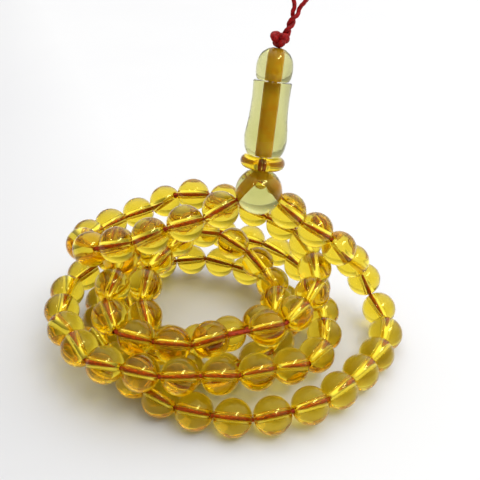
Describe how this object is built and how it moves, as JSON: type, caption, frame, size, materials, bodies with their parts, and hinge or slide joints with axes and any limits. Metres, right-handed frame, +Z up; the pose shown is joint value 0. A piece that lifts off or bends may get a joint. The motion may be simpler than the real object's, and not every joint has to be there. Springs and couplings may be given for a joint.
{
  "type": "misbaha prayer beads",
  "caption": "String of round clear amber resin prayer beads on a red cord, lying in a loose pile, with a leader bead, collar ring, long imam and hanging loop.",
  "frame": {"origin": "on the surface the pile lies on, under the middle of the beads", "axes": "+Z up, +X to the right of the pile as seen from its front, -Y towards the front"},
  "size_m": [0.0836, 0.0678, 0.0899],
  "materials": {
    "resin": "polished clear amber resin",
    "cord": "twisted waxed red thread"
  },
  "bodies": {
    "strand": {"stringing_cord": "cord", "leader_bead": "resin", "knot": "cord", "twisted_cord": "cord", "hanging_loop": "cord", "beads_05_to_16": "resin", "beads_17_to_28": "resin", "beads_29_to_33": "resin", "beads_34_to_43": "resin", "beads_44_to_50": "resin", "beads_51_to_58": "resin"},
    "bead_01": {"bead_01": "resin"},
    "bead_02": {"bead_02": "resin"},
    "bead_03": {"bead_03": "resin"},
    "bead_04": {"bead_04": "resin"},
    "bead_59": {"bead_59": "resin"},
    "bead_60": {"bead_60": "resin"},
    "bead_61": {"bead_61": "resin"},
    "bead_62": {"bead_62": "resin"},
    "bead_63": {"bead_63": "resin"},
    "bead_64": {"bead_64": "resin"},
    "bead_65": {"bead_65": "resin"},
    "bead_66": {"bead_66": "resin"},
    "bead_67": {"bead_67": "resin"},
    "bead_68": {"bead_68": "resin"},
    "bead_69": {"bead_69": "resin"},
    "bead_70": {"bead_70": "resin"},
    "bead_71": {"bead_71": "resin"},
    "bead_72": {"bead_72": "resin"},
    "bead_73": {"bead_73": "resin"},
    "bead_74": {"bead_74": "resin"},
    "bead_75": {"bead_75": "resin"},
    "bead_76": {"bead_76": "resin"},
    "bead_77": {"bead_77": "resin"},
    "bead_78": {"bead_78": "resin"},
    "bead_79": {"bead_79": "resin"},
    "bead_80": {"bead_80": "resin"},
    "bead_81": {"bead_81": "resin"},
    "bead_82": {"bead_82": "resin"},
    "bead_83": {"bead_83": "resin"},
    "bead_84": {"bead_84": "resin"},
    "bead_85": {"bead_85": "resin"},
    "bead_86": {"bead_86": "resin"},
    "bead_87": {"bead_87": "resin"},
    "bead_88": {"bead_88": "resin"},
    "bead_89": {"bead_89": "resin"},
    "bead_90": {"bead_90": "resin"},
    "bead_91": {"bead_91": "resin"},
    "bead_92": {"bead_92": "resin"},
    "bead_93": {"bead_93": "resin"},
    "bead_94": {"bead_94": "resin"},
    "bead_95": {"bead_95": "resin"},
    "bead_96": {"bead_96": "resin"},
    "bead_97": {"bead_97": "resin"},
    "bead_98": {"bead_98": "resin"},
    "bead_99": {"bead_99": "resin"},
    "collar_ring": {"collar_ring": "resin"},
    "imam": {"imam": "resin"},
    "imam_cap": {"imam_cap": "resin"}
  },
  "joints": [
    {"name": "bead_01_spin", "type": "hinge", "parent": "strand", "child": "bead_01", "pos_m": [0.01427, 0.00235, 0.03404], "axis": [0.7042, 0.0854, -0.7048], "continuous": true},
    {"name": "bead_02_spin", "type": "hinge", "parent": "strand", "child": "bead_02", "pos_m": [0.02054, 0.00271, 0.02901], "axis": [0.8426, -0.0006, -0.5385], "continuous": true},
    {"name": "bead_03_spin", "type": "hinge", "parent": "strand", "child": "bead_03", "pos_m": [0.02633, 0.00375, 0.02351], "axis": [0.5552, 0.2549, -0.7917], "continuous": true},
    {"name": "bead_04_spin", "type": "hinge", "parent": "strand", "child": "bead_04", "pos_m": [0.03041, 0.00748, 0.01767], "axis": [0.4338, 0.6501, -0.6238], "continuous": true},
    {"name": "bead_59_spin", "type": "hinge", "parent": "strand", "child": "bead_59", "pos_m": [0.0234, 0.00231, 0.00648], "axis": [0.0601, -0.9945, -0.0857], "continuous": true},
    {"name": "bead_60_spin", "type": "hinge", "parent": "strand", "child": "bead_60", "pos_m": [0.02308, -0.00573, 0.0061], "axis": [-0.1017, -0.9948, -0.0013], "continuous": true},
    {"name": "bead_61_spin", "type": "hinge", "parent": "strand", "child": "bead_61", "pos_m": [0.02055, -0.01336, 0.00646], "axis": [-0.5452, -0.8345, 0.0803], "continuous": true},
    {"name": "bead_62_spin", "type": "hinge", "parent": "strand", "child": "bead_62", "pos_m": [0.01445, -0.01848, 0.00767], "axis": [-0.8872, -0.4051, 0.2208], "continuous": true},
    {"name": "bead_63_spin", "type": "hinge", "parent": "strand", "child": "bead_63", "pos_m": [0.00725, -0.0218, 0.00902], "axis": [-0.914, -0.3937, 0.0982], "continuous": true},
    {"name": "bead_64_spin", "type": "hinge", "parent": "strand", "child": "bead_64", "pos_m": [-0.00046, -0.02421, 0.01012], "axis": [-0.9579, -0.2173, 0.1877], "continuous": true},
    {"name": "bead_65_spin", "type": "hinge", "parent": "strand", "child": "bead_65", "pos_m": [-0.00842, -0.02554, 0.01115], "axis": [-0.9951, -0.0896, 0.0428], "continuous": true},
    {"name": "bead_66_spin", "type": "hinge", "parent": "strand", "child": "bead_66", "pos_m": [-0.01643, -0.0248, 0.01147], "axis": [-0.9642, 0.258, 0.0604], "continuous": true},
    {"name": "bead_67_spin", "type": "hinge", "parent": "strand", "child": "bead_67", "pos_m": [-0.02413, -0.02242, 0.0115], "axis": [-0.9369, 0.3398, -0.0821], "continuous": true},
    {"name": "bead_68_spin", "type": "hinge", "parent": "strand", "child": "bead_68", "pos_m": [-0.03033, -0.01729, 0.0116], "axis": [-0.505, 0.8519, 0.1384], "continuous": true},
    {"name": "bead_69_spin", "type": "hinge", "parent": "strand", "child": "bead_69", "pos_m": [-0.03477, -0.01058, 0.0115], "axis": [-0.5821, 0.7876, -0.2019], "continuous": true},
    {"name": "bead_70_spin", "type": "hinge", "parent": "strand", "child": "bead_70", "pos_m": [-0.03735, -0.00298, 0.01082], "axis": [-0.0167, 0.9963, 0.0844], "continuous": true},
    {"name": "bead_71_spin", "type": "hinge", "parent": "strand", "child": "bead_71", "pos_m": [-0.03784, 0.00504, 0.01049], "axis": [-0.1146, 0.97, -0.2146], "continuous": true},
    {"name": "bead_72_spin", "type": "hinge", "parent": "strand", "child": "bead_72", "pos_m": [-0.03542, 0.01281, 0.0102], "axis": [0.6514, 0.7325, 0.1977], "continuous": true},
    {"name": "bead_73_spin", "type": "hinge", "parent": "strand", "child": "bead_73", "pos_m": [-0.02867, 0.01596, 0.01354], "axis": [0.8657, 0.0089, 0.5004], "continuous": true},
    {"name": "bead_74_spin", "type": "hinge", "parent": "strand", "child": "bead_74", "pos_m": [-0.02384, 0.01168, 0.01852], "axis": [0.0392, -0.8695, 0.4924], "continuous": true},
    {"name": "bead_75_spin", "type": "hinge", "parent": "strand", "child": "bead_75", "pos_m": [-0.02409, 0.00382, 0.02022], "axis": [-0.0153, -0.9962, -0.0852], "continuous": true},
    {"name": "bead_76_spin", "type": "hinge", "parent": "strand", "child": "bead_76", "pos_m": [-0.0248, -0.004, 0.01843], "axis": [-0.2394, -0.903, -0.3568], "continuous": true},
    {"name": "bead_77_spin", "type": "hinge", "parent": "strand", "child": "bead_77", "pos_m": [-0.0245, -0.01145, 0.0154], "axis": [0.3918, -0.8517, -0.3481], "continuous": true},
    {"name": "bead_78_spin", "type": "hinge", "parent": "strand", "child": "bead_78", "pos_m": [-0.0183, -0.0163, 0.01373], "axis": [0.957, -0.2856, -0.0512], "continuous": true},
    {"name": "bead_79_spin", "type": "hinge", "parent": "strand", "child": "bead_79", "pos_m": [-0.01044, -0.018, 0.01314], "axis": [0.9966, -0.0568, -0.0598], "continuous": true},
    {"name": "bead_80_spin", "type": "hinge", "parent": "strand", "child": "bead_80", "pos_m": [-0.00246, -0.01739, 0.01403], "axis": [0.9591, 0.1378, 0.2473], "continuous": true},
    {"name": "bead_81_slide", "type": "slide", "parent": "strand", "child": "bead_81", "axis": [-0.958, -0.2867, -0.0097], "range_m": [0, 0.0036]},
    {"name": "bead_82_spin", "type": "hinge", "parent": "strand", "child": "bead_82", "pos_m": [0.01576, -0.00973, 0.01511], "axis": [0.5493, 0.8355, -0.0113], "continuous": true},
    {"name": "bead_83_spin", "type": "hinge", "parent": "strand", "child": "bead_83", "pos_m": [0.01998, -0.00289, 0.01542], "axis": [0.4371, 0.8925, 0.1117], "continuous": true},
    {"name": "bead_84_spin", "type": "hinge", "parent": "strand", "child": "bead_84", "pos_m": [0.0212, 0.00486, 0.01724], "axis": [-0.0907, 0.9481, 0.3048], "continuous": true},
    {"name": "bead_85_spin", "type": "hinge", "parent": "strand", "child": "bead_85", "pos_m": [0.01957, 0.0124, 0.01952], "axis": [-0.3722, 0.888, 0.2701], "continuous": true},
    {"name": "bead_86_spin", "type": "hinge", "parent": "strand", "child": "bead_86", "pos_m": [0.01416, 0.01798, 0.02164], "axis": [-0.8598, 0.46, 0.2216], "continuous": true},
    {"name": "bead_87_spin", "type": "hinge", "parent": "strand", "child": "bead_87", "pos_m": [0.00733, 0.02181, 0.02351], "axis": [-0.8658, 0.436, 0.2456], "continuous": true},
    {"name": "bead_88_spin", "type": "hinge", "parent": "strand", "child": "bead_88", "pos_m": [-0.00018, 0.02376, 0.02564], "axis": [-0.9572, 0.0945, 0.2736], "continuous": true},
    {"name": "bead_89_spin", "type": "hinge", "parent": "strand", "child": "bead_89", "pos_m": [-0.00811, 0.02473, 0.02658], "axis": [-0.9952, 0.0873, -0.0431], "continuous": true},
    {"name": "bead_90_spin", "type": "hinge", "parent": "strand", "child": "bead_90", "pos_m": [-0.01547, 0.02645, 0.0238], "axis": [-0.704, 0.3652, -0.6092], "continuous": true},
    {"name": "bead_91_spin", "type": "hinge", "parent": "strand", "child": "bead_91", "pos_m": [-0.02274, 0.02645, 0.02035], "axis": [-0.8991, -0.4161, -0.1358], "continuous": true},
    {"name": "bead_92_spin", "type": "hinge", "parent": "strand", "child": "bead_92", "pos_m": [-0.02911, 0.02156, 0.01976], "axis": [-0.6802, -0.7323, -0.0343], "continuous": true},
    {"name": "bead_93_spin", "type": "hinge", "parent": "strand", "child": "bead_93", "pos_m": [-0.0333, 0.01472, 0.02046], "axis": [-0.2796, -0.9317, 0.2318], "continuous": true},
    {"name": "bead_94_spin", "type": "hinge", "parent": "strand", "child": "bead_94", "pos_m": [-0.03297, 0.00698, 0.02263], "axis": [0.3123, -0.9146, 0.2569], "continuous": true},
    {"name": "bead_95_spin", "type": "hinge", "parent": "strand", "child": "bead_95", "pos_m": [-0.02972, 0.00019, 0.02548], "axis": [0.5253, -0.7131, 0.4642], "continuous": true},
    {"name": "bead_96_spin", "type": "hinge", "parent": "strand", "child": "bead_96", "pos_m": [-0.02301, -0.00317, 0.02864], "axis": [0.967, -0.092, 0.2376], "continuous": true},
    {"name": "bead_97_spin", "type": "hinge", "parent": "strand", "child": "bead_97", "pos_m": [-0.01554, -0.0042, 0.03152], "axis": [0.8722, -0.1034, 0.4781], "continuous": true},
    {"name": "bead_98_spin", "type": "hinge", "parent": "strand", "child": "bead_98", "pos_m": [-0.00796, -0.00342, 0.03414], "axis": [0.9596, 0.2416, 0.1443], "continuous": true},
    {"name": "bead_99_spin", "type": "hinge", "parent": "strand", "child": "bead_99", "pos_m": [-0.00046, -0.00172, 0.03653], "axis": [0.8653, 0.2257, 0.4475], "continuous": true},
    {"name": "collar_ring_spin", "type": "hinge", "parent": "strand", "child": "collar_ring", "pos_m": [0.00841, 0.00187, 0.04599], "axis": [0.1166, 0.2403, 0.9637], "continuous": true},
    {"name": "imam_spin", "type": "hinge", "parent": "strand", "child": "imam", "pos_m": [0.00947, 0.00404, 0.05472], "axis": [0.1166, 0.2403, 0.9637], "continuous": true},
    {"name": "imam_cap_spin", "type": "hinge", "parent": "strand", "child": "imam_cap", "pos_m": [0.01074, 0.00666, 0.06523], "axis": [0.1166, 0.2403, 0.9637], "continuous": true}
  ]
}
